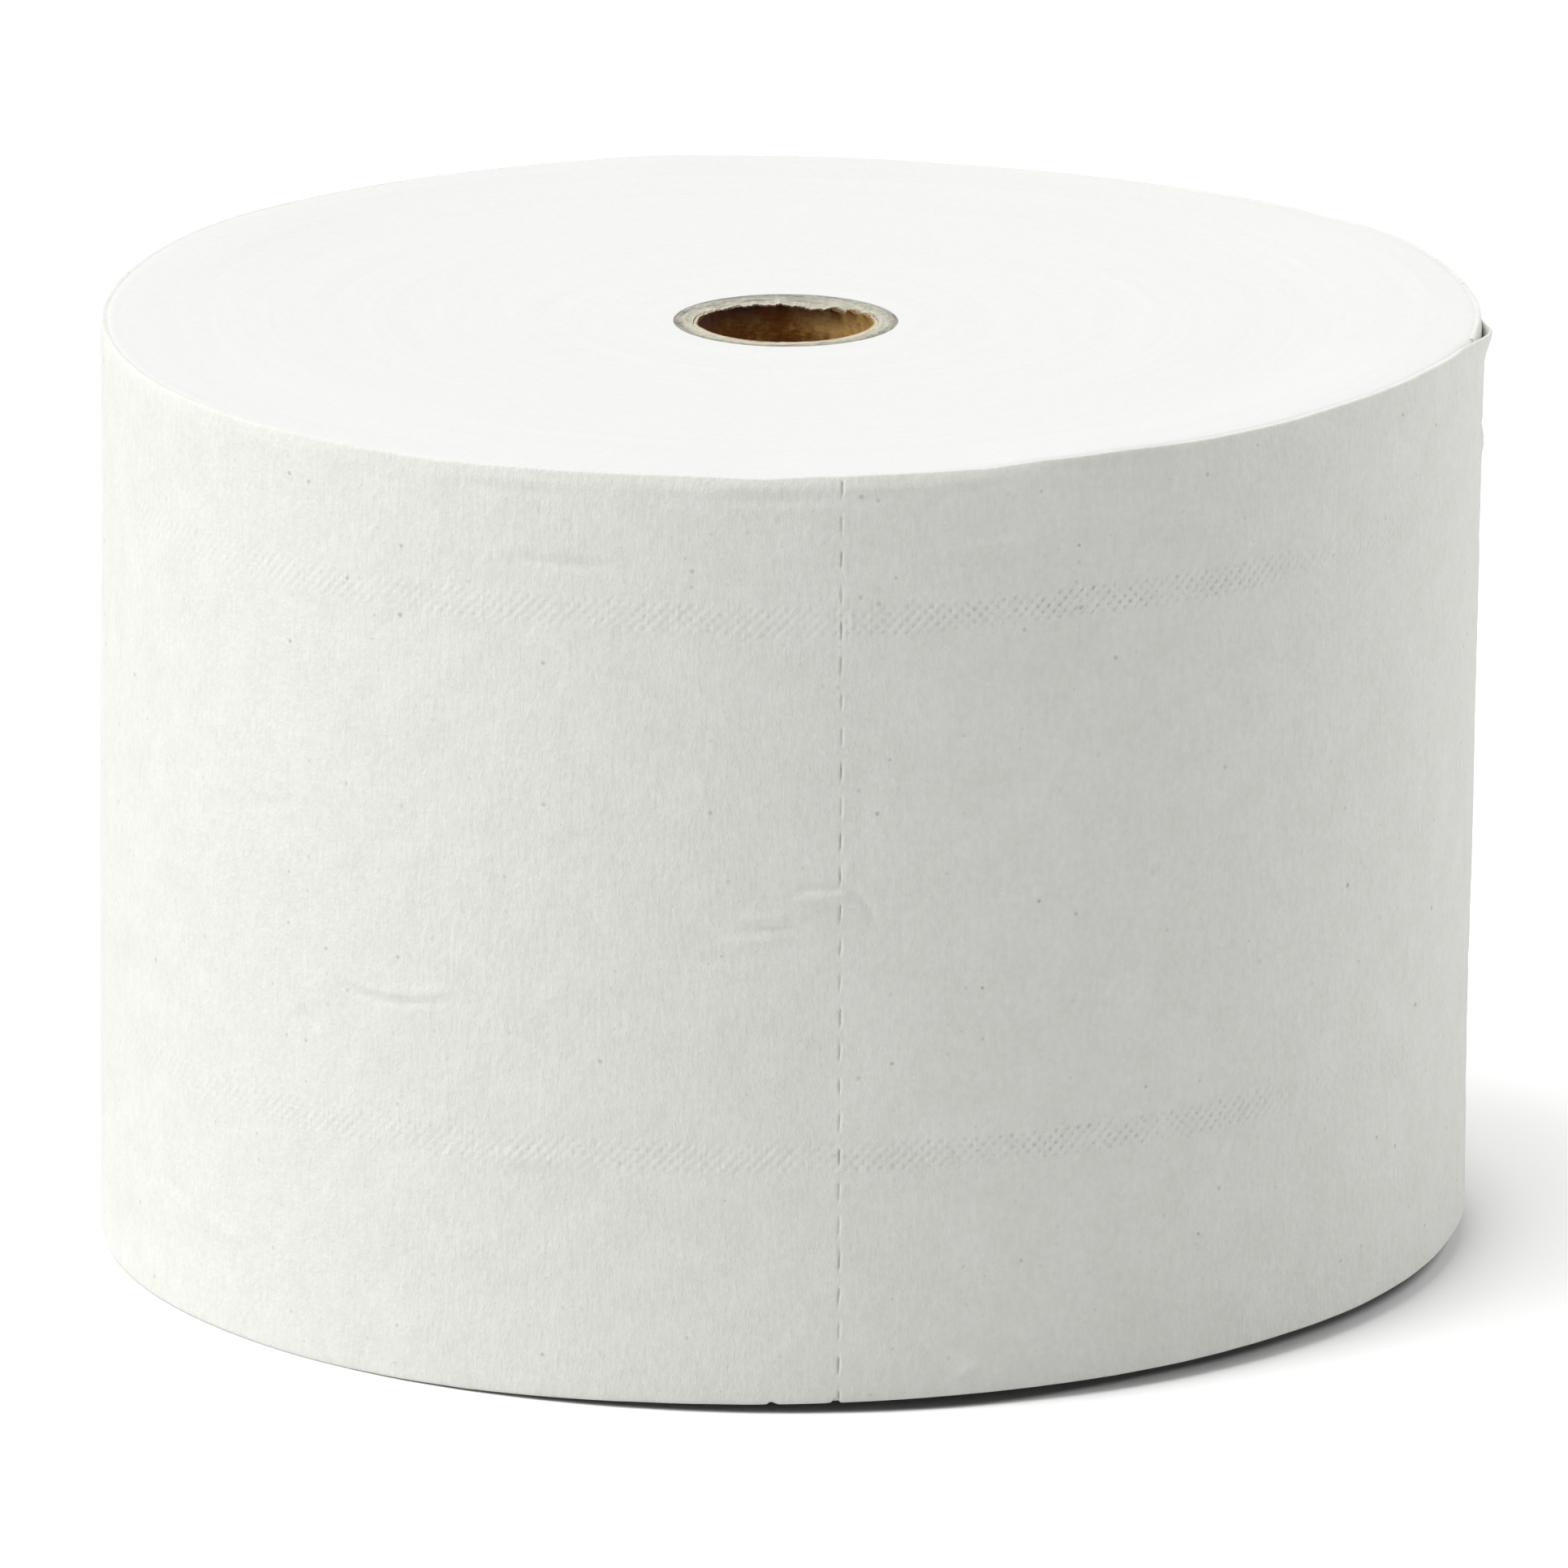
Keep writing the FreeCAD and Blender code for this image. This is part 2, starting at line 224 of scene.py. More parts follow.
# Creases of the outer turn: azimuth and height of the middle, length, slope in degrees, bow
# (how far the middle hangs below the ends), width and height of the fold.
CREASES = (
    (-33.6, 39.0, 14.5, 3, 1.2, 0.32, -0.2),
    (-33.6, 39.6, 14.5, 3, 1.2, 0.6, 0.07),
    (-42.8, 34.3, 3.4, -35, 0, 0.7, -0.26),
    (2.9, 50.5, 5.6, 2, -0.1, 0.45, 0.28),
    (3.4, 51.3, 6.2, 0, -0.2, 0.45, -0.18),
    (6.2, 49.4, 4.6, -58, -0.3, 0.4, -0.24),
    (-0.8, 47.8, 6.5, 0, 0.1, 0.4, -0.2),
    (-1.8, 48.7, 4.5, 0, 0.1, 0.45, 0.17),
    (-2.5, 46.6, 7.0, 3, 0.2, 0.5, 0.12),
    (-5.5, 44.6, 9.0, 2, 0.2, 0.5, -0.1),
    (-18.5, 83.2, 11.0, -2, 0.3, 0.45, -0.24),
    (-23.0, 90.0, 12.0, -3, 0.3, 0.6, -0.12),
    (-9.5, 90.2, 9.0, -3, 0.3, 0.55, -0.1),
    (-1.0, 90.3, 13.0, 0, 0.2, 0.6, -0.24),
    (6.5, 90.0, 12.0, 1, 0.1, 0.5, -0.14),
    (15.5, 90.3, 10.0, 3, 0.1, 0.5, -0.2),
    (28.0, 90.8, 16.0, -2, 0.2, 0.5, -0.2),
    (17.0, 84.8, 11.0, 3, 0.3, 0.55, 0.26),
    (31.0, 88.2, 14.0, -4, 0.2, 0.6, -0.2),
    (33.0, 84.6, 14.0, 5, 0.3, 0.6, 0.2),
    (62.0, 86.0, 9.0, -28, 0.5, 0.6, -0.16),
    (20.9, 49.3, 5.0, 12, 0.1, 0.45, 0.2),
    (-61.0, 12.5, 9.0, -10, 0.3, 0.7, -0.12),
    (-53.0, 10.4, 7.0, -8, 0.3, 0.6, 0.12),
    (-47.0, 55.0, 8.0, 10, 0.3, 0.7, -0.09),
    (-21.0, 24.0, 12.0, 2, 0.3, 0.8, 0.09),
    (33.0, 36.0, 10.0, -6, 0.4, 0.7, -0.09),
    (120.0, 60.0, 14.0, 6, 0.8, 0.6, -0.2),
    (150.0, 33.0, 18.0, -5, 1.2, 0.6, -0.2),
    (-150.0, 70.0, 12.0, 12, 0.6, 0.6, -0.18),
    (-115.0, 25.0, 15.0, -6, 0.9, 0.6, -0.2),
)

# Small lumps under the outer turn: azimuth, height, half length, half height, how far they stand out.
LUMPS = (
    (15.0, 2.6, 1.0, 0.7, 0.3),
    (5.0, 53.8, 0.35, 1.0, 0.12),
    (5.1, 77.8, 0.3, 0.9, 0.12),
    (-6.8, 61.5, 0.3, 1.0, 0.1),
    (-19.5, 40.0, 0.8, 0.5, 0.08),
    (57.0, 64.0, 1.0, 0.8, 0.08),
    (87.0, 81.2, 5.0, 0.5, -0.18),
    (87.0, 79.6, 5.0, 0.8, 0.2),
    (84.0, 70.0, 6.0, 1.5, -0.1),
    (135.0, 48.0, 1.2, 0.7, 0.16),
    (-130.0, 55.0, 1.0, 0.8, 0.14),
)


def creases(azimuth, height):
    """Folds of the paper: a soft ridge or groove with the profile exp(-v²) across each crease,
    that follows its bow along it and fades to nothing at its two ends."""
    out = np.zeros(np.broadcast(azimuth, height).shape)
    for middle, level, length, slope, bow, width, rise in CREASES:
        across = (azimuth - middle) * ARC
        up = height - level
        tilt = np.radians(slope)
        along = across * np.cos(tilt) + up * np.sin(tilt)
        aside = up * np.cos(tilt) - across * np.sin(tilt)
        share = np.clip(1 - (2 * along / length) ** 2, 0, 1)
        out += rise * share ** 0.7 * np.exp(-(((aside + bow * share) / width) ** 2))
    for middle, level, half_length, half_height, rise in LUMPS:
        across = (azimuth - middle) * ARC / half_length
        out += rise * np.exp(-(across**2) - ((height - level) / half_height) ** 2)
    return out


def dots(turn, height, middle, climb):
    """The knurled band: dots in rows, each row half a pitch on from the last, pressed in. The
    rows climb a little to the left.

    cos(2πx/p)·cos(πy/q) peaks at the dots. A second wave along the diagonal joins dots that lie
    up and to the right of each other. The press was uneven, so noise and a table by azimuth weigh
    the depth.
    """
    azimuth = facing(turn)
    along = turn * ARC
    up = height - middle - np.interp(azimuth, BAND_AZIMUTHS, climb)
    drift = 0.12 * smooth_noise(along, up, 9, 3, 21)
    grid = np.cos(2 * np.pi * (along / DOT_PITCH + drift)) * np.cos(np.pi * up / DOT_ROW_PITCH)
    diagonal = np.cos(2 * np.pi * (along / DOT_PITCH + drift - up / (2 * DOT_ROW_PITCH)))
    joined = 0.25 + 0.2 * smooth_noise(along, up, 6, 4, 24)
    pressed = smooth_step((1 - joined) * grid + joined * diagonal, 0.05, 1)
    force = 0.8 + 0.3 * smooth_noise(along, up, 4.5, 1.4, 22)
    force += 0.35 * smooth_noise(along, up, 0.9, 0.6, 23)
    worn = np.interp(azimuth, PRESS_AZIMUTHS, PRESS_FORCES)
    band = 1 - smooth_step(np.abs(up), 1.2, 1.95)
    band *= 1 - smooth_step(np.abs(height - middle), BAND_WIDTH / 2 - 0.4, BAND_WIDTH / 2)
    return -DOT_DEPTH * (pressed - 0.25) * np.clip(force, 0.1, 1.3) * worn * band


def cuts(turn, height):
    """Knife cuts of the three perforation lines in the outer turn: V grooves, each as long and as
    open as the blade left it, one cut above the other at an even pitch."""
    out = np.zeros(np.broadcast(turn, height).shape)
    for line in range(1, 4):
        random = np.random.default_rng(40 + line)
        openness, length, shift, slant = random.uniform(0, 1, (4, 64))
        number = np.clip(np.floor((height - CUTS_FROM) / CUT_PITCH + 0.2), 0, 63).astype(int)
        middle = CUTS_FROM + number * CUT_PITCH + CUT_LENGTH / 2
        half = CUT_LENGTH / 2 * (0.68 + 0.3 * length[number])
        along = (height - middle) / half
        across = (turn - perforation(line)) * ARC + 0.1 * (shift[number] - 0.5)
        across += 0.09 * (slant[number] - 0.5) * along
        mouth = np.clip(1 - np.abs(across) / (CUT_WIDTH / 2), 0, 1)
        ends = 1 - smooth_step(np.abs(along), 0.75, 1.1)
        out -= CUT_DEPTH * (0.45 + 0.55 * openness[number]) * mouth * ends
        out += 0.035 * np.exp(-((across - 0.35) / 0.25) ** 2) * ends
    return out


def torn_edge(height):
    """How far the tail's edge is bitten back, in millimetres: a rough notch at each cut, and the
    upper corner torn off."""
    along = (height - CUTS_FROM - CUT_LENGTH / 2) / CUT_PITCH
    notch = 0.45 * smooth_step(np.cos(2 * np.pi * along), -0.2, 0.5)
    corner = 0.5 * smooth_step(height, WEB_WIDTH - 2.5, WEB_WIDTH)
    return notch + corner + 0.18 * (1 + smooth_noise(height * 0, height, 1, 0.7, 51))


def relief(turn, height):
    """How far the paper stands out from its turn: slow swells, the cockle of crepe, the lean of the
    sides, creases, cuts and dots, the flare of the tail's upper corner, and what lies under it."""
    azimuth = facing(turn)
    along = turn * ARC
    out = 0.12 * smooth_noise(along, height, 34, 26, 1) + 0.06 * smooth_noise(along, height, 13, 17, 2)
    out += 0.03 * smooth_noise(along, height, 3.6, 3.2, 3) + 0.02 * smooth_noise(along, height, 1.3, 1.6, 4)
    out += lean(azimuth, height) + creases(azimuth, height)
    out += cuts(turn, height)
    for middle, climb in ((UPPER_BAND, UPPER_CLIMB), (LOWER_BAND, LOWER_CLIMB)):
        in_band = np.abs(height - middle) < BAND_WIDTH / 2
        out += np.where(in_band, dots(turn, height, middle, climb), 0)
    corner = smooth_step(turn, 341, 351.5) * (1 - smooth_step(turn, 352.5, 359))
    flare = 0.8 * corner * np.exp(-(((WEB_WIDTH - height) / 2.2) ** 2))
    start = np.where(turn < 180, under_tail(azimuth, height), 0)
    return out + flare + start


def nicks(turn):
    """How far the lower edge is cut up in two small nicks, one of them at the perforation."""
    out = 0
    for azimuth, rise in ((4.1, 0.45), (-1.1, 0.35)):
        out = out + rise * np.exp(-(((facing(turn) - azimuth) * ARC / 0.3) ** 2))
    return out


def on_outer_turn(turn, height, depth):
    """Points of the outer turn, depth inside its surface, as x, y and z.

    The radius grows by one step over the turn, and the relief is added to it. The tail's end is
    drawn back by its torn edge.
    """
    end = smooth_step(turn, 354, 360)
    turn = turn - end * torn_edge(height) / ARC
    angle = np.radians(turn + TAIL_ANGLE)
    radius = TAIL_RADIUS - TURN_STEP * (1 - turn / 360) + relief(turn, height) - depth
    level = height + creep(turn, height) + nicks(turn) * (1 - smooth_step(height, 0, 1.2))
    return np.stack(np.broadcast_arrays(radius * np.cos(angle), radius * np.sin(angle), level), -1)


def stations(front_pitch, back_pitch):
    """Turns at which the outer turn is worked out: close together where the camera looks, wider
    apart behind, and with a few more across each perforation line and at the tail."""
    back = np.arange(TURN_FROM, 168, back_pitch / ARC)
    front = np.linspace(168, 360, int(192 * ARC / front_pitch))
    extra = [358.6, 359.2, 359.6]
    for line in range(1, 4):
        extra += [perforation(line) + offset / ARC for offset in (-0.4, -0.2, -0.1, 0, 0.1, 0.2, 0.4)]
    return np.unique(np.concatenate([back, front, extra]))


def make_piece(name, points, faces, slot, material, *nodes):
    """A closed mesh from points in millimetres and faces, that stands for CAD nodes."""
    mesh = bpy.data.meshes.new(name)
    mesh.from_pydata(points.reshape(-1, 3) * MM, [], faces)
    mesh.validate()
    mesh.polygons.foreach_set("use_smooth", np.ones(len(mesh.polygons), bool))
    mesh.set_sharp_from_angle(angle=np.radians(62))
    mesh.materials.append(material)
    piece = bpy.data.objects.new(name, mesh)
    bpy.context.scene.collection.objects.link(piece)
    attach(piece, "root")
    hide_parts(*nodes)
    return piece


def skin(rows, columns, rows_closed, columns_closed):
    """Quads between the points of a grid, row by row. A closed direction joins its last to its first."""
    row = np.arange(rows if rows_closed else rows - 1)
    column = np.arange(columns if columns_closed else columns - 1)
    r, c = np.meshgrid(row, column, indexing="ij")
    r2, c2 = (r + 1) % rows, (c + 1) % columns
    quads = np.stack([r * columns + c, r2 * columns + c, r2 * columns + c2, r * columns + c2], -1)
    return quads.reshape(-1, 4).tolist()


def make_strip(name, heights, depths, turns, material):
    """A strip of the outer turn, as a closed band of paper.

    Its section is a closed line through the given heights and depths, which may differ from turn
    to turn. It is carried along the turns, and its two ends are closed with a face each.
    """
    points = on_outer_turn(turns[:, None], heights, depths)
    stops, around = points.shape[:2]
    faces = skin(stops, around, False, True)
    faces.append(list(range(around)))
    faces.append(list(range(stops * around - 1, (stops - 1) * around - 1, -1)))
    return make_piece(name, points, faces, "tissue", material, "tissue_roll")


def flat_strip(low, high, row_pitch):
    """Section of a strip with straight edges: up its outer side and down its inner side."""
    outer = np.linspace(low, high, int(round((high - low) / row_pitch)) + 1)
    inner = np.array([high, (low + high) / 2, low])
    heights = np.concatenate([outer, inner])
    depths = np.concatenate([outer * 0, inner * 0 + SHEET_THICKNESS])
    return heights[None, :], depths[None, :]


def lip_width(turn):
    """Width of the rim's soft lip, which is narrower near the tail."""
    return LIP_WIDTH - (LIP_WIDTH - TAIL_LIP_WIDTH) * smooth_step(turn, 334, 344)


def rim_strip(turns, row_pitch):
    """Section of the top strip: up its outer side, inward over a soft slope and a tight corner on
    to the end face, then down again inside, where the turns below carry it."""
    low, straight_high = UPPER_BAND_SPAN[1], WEB_WIDTH - LIP_HEIGHT
    outer = np.linspace(low, straight_high, int((straight_high - low) / row_pitch))
    share = np.linspace(0, 1, 6)[1:]
    bend = np.radians(np.linspace(LIP_BEND_FROM, 90, 7))[1:]
    start_sine, start_cosine = np.sin(np.radians(LIP_BEND_FROM)), np.cos(np.radians(LIP_BEND_FROM))
    width = lip_width(turns)[:, None]
    rolled = np.interp(facing(turns), ROLL_AZIMUTHS, ROLL_AMOUNTS)
    uneven = (rolled * (1 + 0.3 * smooth_noise(turns * ARC, turns * 0, 6, 1, 61)))[:, None]
    slope_high = WEB_WIDTH - LIP_CORNER * (1 - start_sine)
    slope_heights = straight_high + (slope_high - straight_high) * share
    slope_depths = 0.5 * width * share**1.3 * uneven
    bend_heights = slope_high + LIP_CORNER * (np.sin(bend) - start_sine)
    bend_depths = slope_depths[:, -1:] + LIP_CORNER * (start_cosine - np.cos(bend))
    inside_heights = np.array([WEB_WIDTH - 0.12, WEB_WIDTH - 0.5, WEB_WIDTH - 1.4, low])
    inside_depths = width * np.array([1.1, 1.2, 1.2, 0]) + np.array([0, 0, 0, SHEET_THICKNESS])
    many = (len(turns), 1)
    heights = np.tile(np.concatenate([outer, slope_heights, bend_heights, inside_heights]), many)
    depths = np.concatenate([np.tile(outer * 0, many), slope_depths, bend_depths, inside_depths], 1)
    return heights, depths


def foot_strip(row_pitch):
    """Section of the bottom strip: round its lower edge, up its outer side, and down inside."""
    high = LOWER_BAND_SPAN[0]
    bend = np.radians(np.linspace(90, 0, 5))[:-1]
    outer = np.linspace(FOOT_LIP, high, int((high - FOOT_LIP) / row_pitch))
    inner = np.array([high, FOOT_LIP, 0.1])
    heights = np.concatenate([FOOT_LIP * (1 - np.sin(bend)), outer, inner])
    depths = np.concatenate([0.3 * (1 - np.cos(bend)), outer * 0, inner * 0 + SHEET_THICKNESS + 0.1])
    return heights[None, :], depths[None, :]


def winding_points(angles):
    """The turns under the outer one, as a closed ring of sections.

    A section goes out over the upper end, down the side, in over the lower end and up the core.
    Each end carries the edges of the turns: rings of uneven height, RING_TURNS of the turns wide,
    that drift with the angle, so that they wind. Towards the outside the ends follow the creep of
    the outer turn, and towards the core the upper end is dished.
    """
    edge = TAIL_RADIUS - WINDING_INSET
    out = np.linspace(BOARD_RADIUS, edge - WINDING_ROUND, 116)
    bend = np.radians(np.linspace(0, 90, 6))[1:]
    radii = np.concatenate([out, edge - WINDING_ROUND * (1 - np.sin(bend)), [edge, edge, edge]])
    drops = np.concatenate([out * 0, WINDING_ROUND * (1 - np.cos(bend)), [10, 40, WEB_WIDTH / 2]])
    turn = (np.degrees(angles) - TAIL_ANGLE) % 360
    azimuth = facing(turn)[:, None]
    radius = np.tile(radii, (len(angles), 1))
    winds = radius + TURN_STEP * turn[:, None] / 360 * RING_TURNS
    seen_angle = np.radians(azimuth)
    arc = seen_angle * 30
    flat_x, flat_y = radius * np.cos(seen_angle), radius * np.sin(seen_angle)
    outside = smooth_step(radius, TAIL_RADIUS - 17, TAIL_RADIUS - 2)
    on_end = np.tile(1 - smooth_step(drops, 0, 0.5), (len(angles), 1))
    ends = []
    for seed, crept in ((70, rim_creep(azimuth)), (80, foot_creep(azimuth))):
        rings = 0.03 * smooth_noise(winds, arc, 1.1, 14, seed)
        rings += 0.05 * smooth_noise(winds, arc, 3.4, 20, seed + 1)
        rings += 0.1 * smooth_noise(flat_x, flat_y, 26, 26, seed + 2)
        rings *= smooth_step(radius, BOARD_RADIUS, BOARD_RADIUS + 2.5)
        ends.append((rings * on_end, crept * outside))
    (upper_rings, upper_creep), (lower_rings, lower_creep) = ends
    near_end = smooth_step(WEB_WIDTH - drops, WEB_WIDTH - 40, WEB_WIDTH)
    dished = DISH * (1 - smooth_step(radius, BOARD_RADIUS - 4, TAIL_RADIUS - 8)) * on_end
    upper = WEB_WIDTH - drops + upper_rings - dished + upper_creep * near_end
    lower = drops + np.clip(lower_rings, 0, 1) + lower_creep * near_end
    above = radius + (lean(azimuth, upper) + under_tail(azimuth, upper)) * outside
    below = radius + lean(azimuth, lower) * outside
    across = np.concatenate([above, below[:, ::-1]], 1)
    level = np.concatenate([upper, lower[:, ::-1]], 1)
    angle = angles[:, None]
    aside = CORE_ASIDE * (1 - smooth_step(across, BOARD_RADIUS, TAIL_RADIUS - 20))
    return np.stack([across * np.cos(angle) + aside, across * np.sin(angle), level], -1)


def make_winding(material):
    """The turns under the outer one, closed all round."""
    angles = np.radians(np.arange(0, 360, 1.5))
    points = winding_points(angles)
    faces = skin(len(angles), points.shape[1], True, True)
    return make_piece("winding", points[:, ::-1], faces, "tissue", material, "tissue_roll")


# The liner's upper edge, by angle from +X: how far it is torn down, and how far what is left
# leans into the hole.
TEAR_ANGLES = (
    -30, -8, 4, 15, 19, 24, 30, 35, 38, 42, 47, 49.5, 52, 56, 60, 65, 73, 79, 88, 94, 99, 110, 125, 150, 168,
    178, 200)
TEAR_DROPS = (
    0, 0.02, 0.1, 0.24, 0.05, 0, 0.3, 0.42, 0.16, 0.18, 0.7, 0.78, 0.4, 0.3, 0.5, 0.74, 0.92, 0.72, 0.6, 0.4,
    0.57, 0.5, 0.4, 0.3, 0.12, 0.3, 0)
TEAR_LEANS = (
    0, 0, 0.1, 0.1, 0.45, 0.55, 0.1, 0.1, 0.6, 0.55, 0.1, 0.1, 0.7, 0.75, 0.3, 0.1, 0.05, 0, 0, 0.2, 0, 0,
    0, 0, 0.25, 0.1, 0)


def tear(degrees):
    """How far the tube's inside is torn down, how far it leans in, and where it is torn at all:
    the tables, linear between their angles, made ragged by two noises."""
    place = (degrees + 30) % 360 - 30
    ragged = 0.07 * smooth_noise(degrees, degrees * 0, 1.1, 1, 101)
    ragged += 0.05 * smooth_noise(degrees, degrees * 0, 3.1, 1, 102)
    torn = smooth_step(place, 0, 12) * (1 - smooth_step(place, 150, 185))
    drop = np.interp(place, TEAR_ANGLES, TEAR_DROPS) + ragged * (0.25 + 0.9 * torn)
    return np.clip(drop, 0, 1.2), np.interp(place, TEAR_ANGLES, TEAR_LEANS), torn


def make_core_board(material):
    """The board tube. Its cut ends show three plies: the end's level dips in a fine line between
    two plies, whose radius wanders a little, and is rough with torn fibre elsewhere. Where the
    liner is torn, the board's inner ply is torn too, in a slope down to the liner."""
    angles = np.radians(np.arange(0, 360, 0.75))[:, None]
    thickness = BOARD_RADIUS - LINER_RADIUS
    shares = np.linspace(0, 1, 34)
    radii = LINER_RADIUS + thickness * shares[None, :]
    along = np.degrees(angles) * np.radians(BOARD_RADIUS)
    ends = []
    for seed in (90, 95):
        wander = 0.12 * smooth_noise(along, radii * 0, 4, 1, seed)
        parted = 0.6 + 0.4 * smooth_noise(along, radii * 0, 2, 1, seed + 1)
        level = np.zeros(np.broadcast(angles, radii).shape)
        for joint in (1 / 3, 2 / 3):
            line = LINER_RADIUS + thickness * joint + wander
            level -= 0.13 * np.exp(-(((radii - line) / 0.07) ** 2)) * parted
        level += 0.05 * smooth_noise(along, radii, 1.2, 0.16, seed + 2)
        level += 0.04 * smooth_noise(along, radii, 0.5, 0.3, seed + 3)
        level -= 0.16 * np.clip(smooth_noise(along, radii, 1.4, 0.3, seed + 4) - 0.55, 0, 1)
        rounding = 0.12 * np.exp(-(((1 - shares) / 0.05) ** 2))
        ends.append(level - rounding[None, :])
    drop = tear(np.degrees(angles))[0]
    upper = WEB_WIDTH - DISH - 0.02 + ends[0] - drop * smooth_step(radii, LINER_RADIUS + 1.2, LINER_RADIUS)
    lower = 0.02 - ends[1]
    across = np.concatenate([radii + 0 * along, radii[:, ::-1] + 0 * along], 1)
    level = np.concatenate([upper, lower[:, ::-1]], 1)
    points = np.stack([across * np.cos(angles) + CORE_ASIDE, across * np.sin(angles), level], -1)
    faces = skin(points.shape[0], points.shape[1], True, True)
    return make_piece("core_board", points[:, ::-1], faces, "grey_board", material, "core_wall")


def make_core_liner(material):
    """The brown paper liner, with its torn upper edge.

    A thin wall whose top is let down by the tear and leans inward over FLAP_HEIGHT as the square
    of the height, where the tear left flaps. Its inside has the wrinkles and the slanting butt
    joint of a wound paper tube.
    """
    degrees = np.arange(0, 360, 0.6)
    angles = np.radians(degrees)[:, None]
    shares = np.concatenate([[0, 0.004], np.linspace(0.01, 0.9, 24), np.linspace(0.905, 1, 34)])
    drop, leaning, torn = tear(degrees)
    top = WEB_WIDTH - DISH - 0.07 - drop
    levels = 0.03 + (top[:, None] - 0.03) * shares[None, :]
    near_top = np.clip((levels - (top[:, None] - FLAP_HEIGHT)) / FLAP_HEIGHT, 0, 1) ** 2
    spiral = (degrees[:, None] / 360 * LINER_PITCH - levels) % LINER_PITCH
    joint = 0.12 * np.exp(-((np.minimum(spiral, LINER_PITCH - spiral) / 0.35) ** 2))
    around = degrees[:, None] * np.radians(BORE_RADIUS)
    rough = 0.05 * smooth_noise(around, levels, 1.6, 2.6, 103)
    rough += 0.03 * smooth_noise(around, levels, 0.6, 0.9, 104)
    inner = BORE_RADIUS + 0.06 + joint + rough - near_top * leaning[:, None]
    outer = LINER_RADIUS - 0.015 - near_top * (0.5 * leaning[:, None] + 0.05 * torn[:, None])
    across = np.concatenate([inner, outer[:, ::-1]], 1)
    level = np.concatenate([levels, levels[:, ::-1]], 1)
    points = np.stack([across * np.cos(angles) + CORE_ASIDE, across * np.sin(angles), level], -1)
    faces = skin(points.shape[0], points.shape[1], True, True)
    return make_piece("core_paper_liner", points, faces, "kraft_liner", material, "core_liner")


def linear(hex_colour):
    """An sRGB hex colour as linear red, green, blue and alpha."""
    values = np.array([int(hex_colour[i:i + 2], 16) / 255 for i in (1, 3, 5)])
    values = np.where(values <= 0.04045, values / 12.92, ((values + 0.055) / 1.055) ** 2.4)
    return (*values.tolist(), 1.0)


def add_node(tree, kind, settings=(), inputs=()):
    """Add a node, set its own settings, and fill its inputs: each a value or another node's output."""
    node = tree.nodes.new(kind)
    for name, value in dict(settings).items():
        setattr(node, name, value)
    for name, value in dict(inputs).items():
        if isinstance(value, bpy.types.NodeSocket):
            tree.links.new(value, node.inputs[name])
        else:
            node.inputs[name].default_value = value
    return node


def empty_tree(owner):
    """The node tree of a material or a world, with nothing in it."""
    owner.use_nodes = True
    owner.node_tree.nodes.clear()
    return owner.node_tree


def new_material(name):
    """A material with only a Principled shader on its output. Returns it, its tree and the shader."""
    material = bpy.data.materials.new(name)
    tree = empty_tree(material)
    shader = add_node(tree, "ShaderNodeBsdfPrincipled")
    add_node(tree, "ShaderNodeOutputMaterial", (), {"Surface": shader.outputs[0]})
    return material, tree, shader


def in_cells(tree, width, length):
    """Object coordinates in cells of the given width across and length up the roll."""
    place = add_node(tree, "ShaderNodeTexCoord").outputs["Object"]
    mapping = add_node(tree, "ShaderNodeMapping", (), {
        "Vector": place, "Scale": (1 / width, 1 / width, 1 / length)})
    return mapping.outputs[0]


